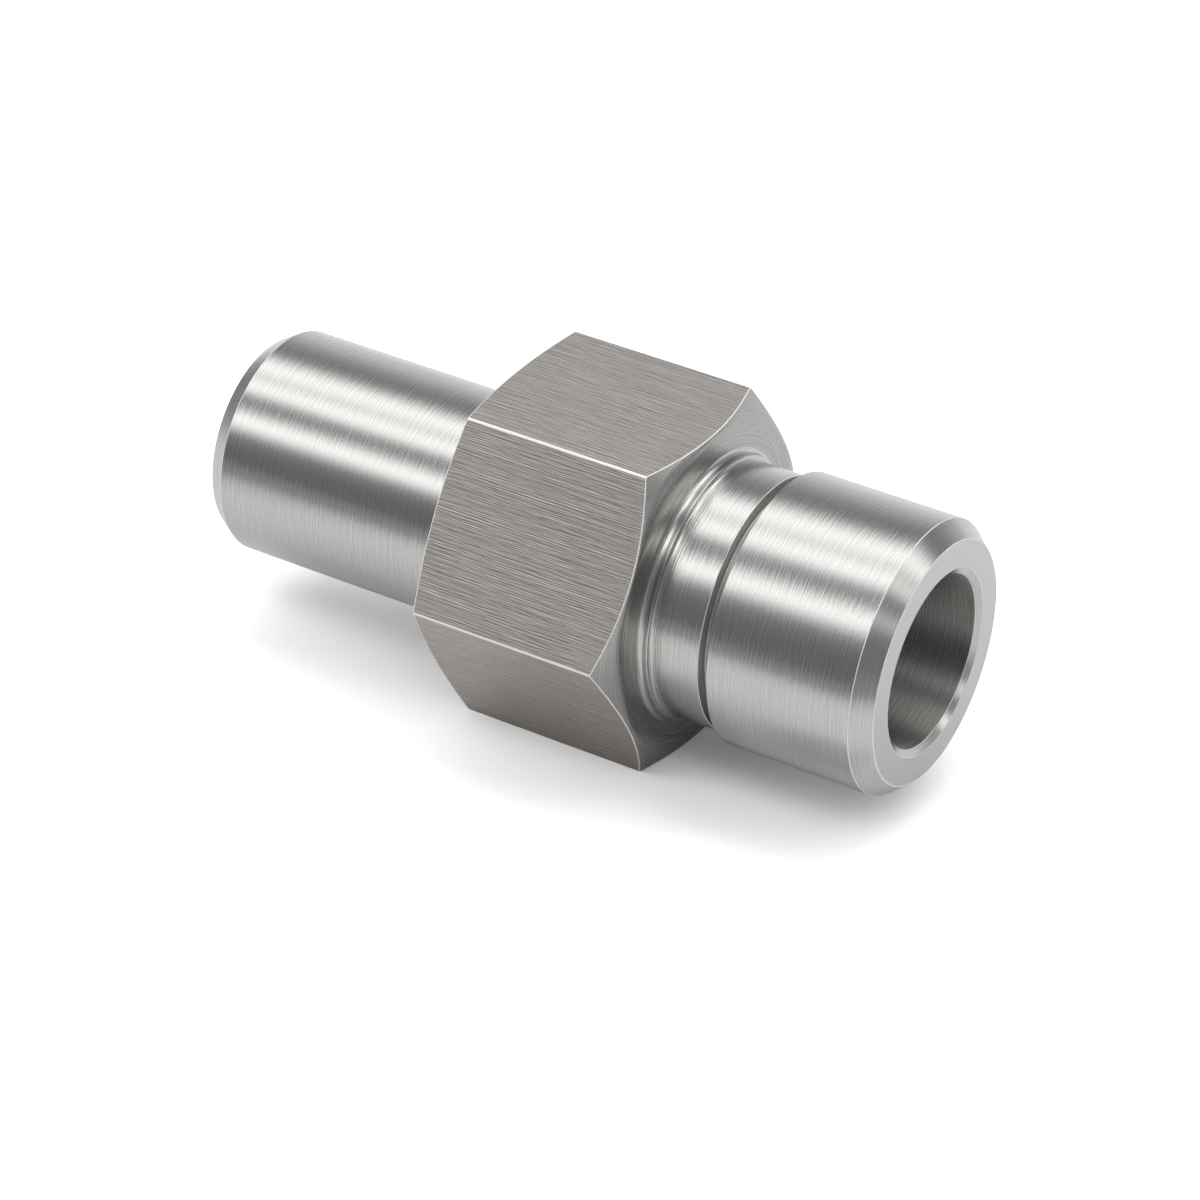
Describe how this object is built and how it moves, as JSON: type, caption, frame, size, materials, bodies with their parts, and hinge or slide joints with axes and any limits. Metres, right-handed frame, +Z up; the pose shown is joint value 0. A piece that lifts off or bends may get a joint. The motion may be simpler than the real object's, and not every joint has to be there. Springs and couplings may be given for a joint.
{
  "type": "machined hex fitting",
  "caption": "Turned steel fitting with a plain tube stub, a chamfered hexagon, a grooved neck and collar, and a bore right through.",
  "frame": {"origin": "on the bore axis, at the hexagon's shoulder face, from which the neck rises", "axes": "+X along the bore axis towards the collar's end face, +Z up, square to the pair of flats that lies level, and Y across the flats' edges"},
  "size_m": [0.0496, 0.0254, 0.022],
  "materials": {
    "steel": "turned stainless steel, the flats brushed along the axis"
  },
  "bodies": {
    "root": {"hex_fitting": "steel"}
  },
  "joints": []
}
